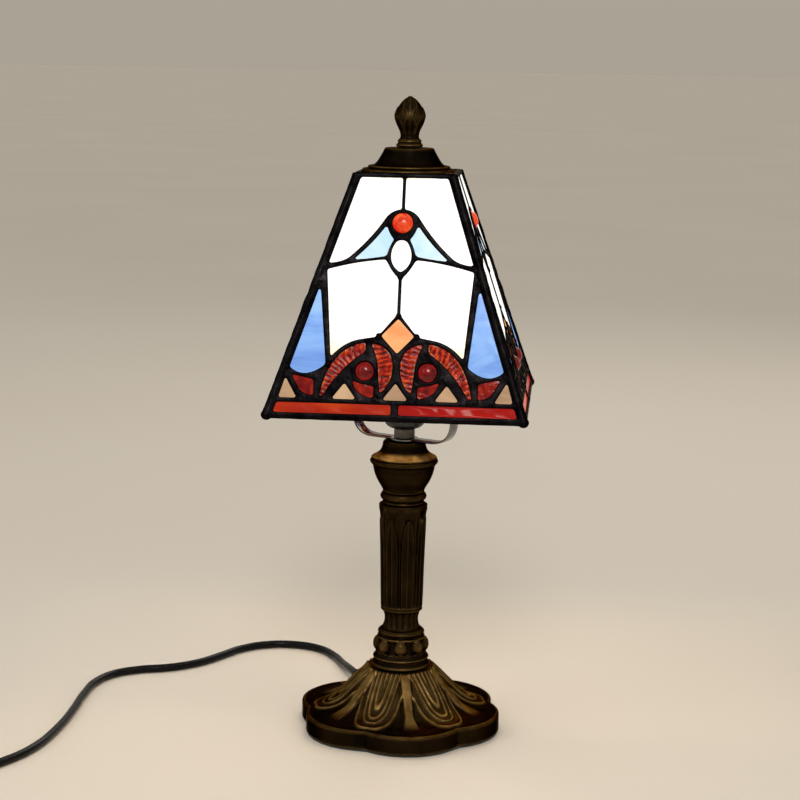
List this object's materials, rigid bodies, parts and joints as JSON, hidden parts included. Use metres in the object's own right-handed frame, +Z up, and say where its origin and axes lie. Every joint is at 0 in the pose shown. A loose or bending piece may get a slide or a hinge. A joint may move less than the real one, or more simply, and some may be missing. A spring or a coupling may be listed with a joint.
{
  "type": "stained glass table lamp",
  "caption": "Table lamp with a four-sided leaded art glass shade, carried by a harp on a cast urn-topped column and a lobed foot, with a corded inline switch and plug.",
  "frame": {"origin": "on the table, on the axis of the column, under the centre of the foot", "axes": "+Z up the column; -Y out of the front of the shade; +X to the right of the shade's front"},
  "size_m": [0.4725, 0.2858, 0.38],
  "materials": {
    "bronze": "dark antique bronze, rubbed brown on the high spots",
    "iron": "as cast",
    "steel": "zinc plated",
    "chrome": "bright plated strip",
    "brass": "bright",
    "lead": "solder with a black patina, satin, slightly lumpy",
    "art_glass": "opal and coloured sheet glass, lit from behind",
    "bulb_glass": "frosted, lit",
    "felt": "felt",
    "black_plastic": "moulded, black",
    "cord_plastic": "smooth black cord sleeve"
  },
  "bodies": {
    "lamp": {"felt_pad": "felt", "base_foot": "bronze", "base_weight": "iron", "base_washer": "steel", "base_nut": "steel", "threaded_rod": "steel", "knuckle": "bronze", "pedestal": "bronze", "column": "bronze", "column_bead": "bronze", "urn_cup": "bronze", "cup_lid": "bronze", "harp": "chrome", "harp_stud": "brass", "lock_nut": "steel", "socket_cap": "black_plastic", "socket_shell": "black_plastic", "socket_core": "black_plastic", "socket_thread": "brass", "socket_contact": "brass", "cord_boot": "cord_plastic", "inner_lead": "cord_plastic", "cord_lead": "cord_plastic", "switch_base": "black_plastic", "switch_cover": "black_plastic", "cord_to_coil": "cord_plastic", "cord_coil": "cord_plastic", "cord_tail": "cord_plastic", "plug_boot": "black_plastic", "plug_body": "black_plastic", "plug_blade_left": "brass", "plug_blade_right": "brass"},
    "shade": {"lead_front": "lead", "lead_right": "lead", "lead_back": "lead", "lead_left": "lead", "glass_front_top_left": "art_glass", "glass_front_top_right": "art_glass", "glass_front_middle_left": "art_glass", "glass_front_middle_right": "art_glass", "glass_right_top_left": "art_glass", "glass_right_top_right": "art_glass", "glass_right_middle_left": "art_glass", "glass_right_middle_right": "art_glass", "glass_back_top_left": "art_glass", "glass_back_top_right": "art_glass", "glass_back_middle_left": "art_glass", "glass_back_middle_right": "art_glass", "glass_left_top_left": "art_glass", "glass_left_top_right": "art_glass", "glass_left_middle_left": "art_glass", "glass_left_middle_right": "art_glass", "shade_plate": "brass", "vase_cap": "bronze"},
    "finial": {"finial": "bronze"},
    "bulb": {"bulb_contact": "steel", "bulb_cap": "brass", "bulb_glass": "bulb_glass", "bulb_stem": "bulb_glass"},
    "rocker": {"switch_rocker": "black_plastic"}
  },
  "joints": [
    {"name": "shade_turn", "type": "hinge", "parent": "lamp", "child": "shade", "pos_m": [0, 0, 0.334], "axis": [0, 0, 1], "continuous": true},
    {"name": "finial_turn", "type": "hinge", "parent": "lamp", "child": "finial", "pos_m": [0, 0, 0.356], "axis": [0, 0, 1], "continuous": true},
    {"name": "bulb_turn", "type": "hinge", "parent": "lamp", "child": "bulb", "pos_m": [0, 0, 0.226], "axis": [0, 0, 1], "continuous": true},
    {"name": "rocker_tilt", "type": "hinge", "parent": "lamp", "child": "rocker", "pos_m": [-0.284, -0.128, 0.0112], "axis": [0, -1, 0], "range_deg": [0, 16]}
  ]
}
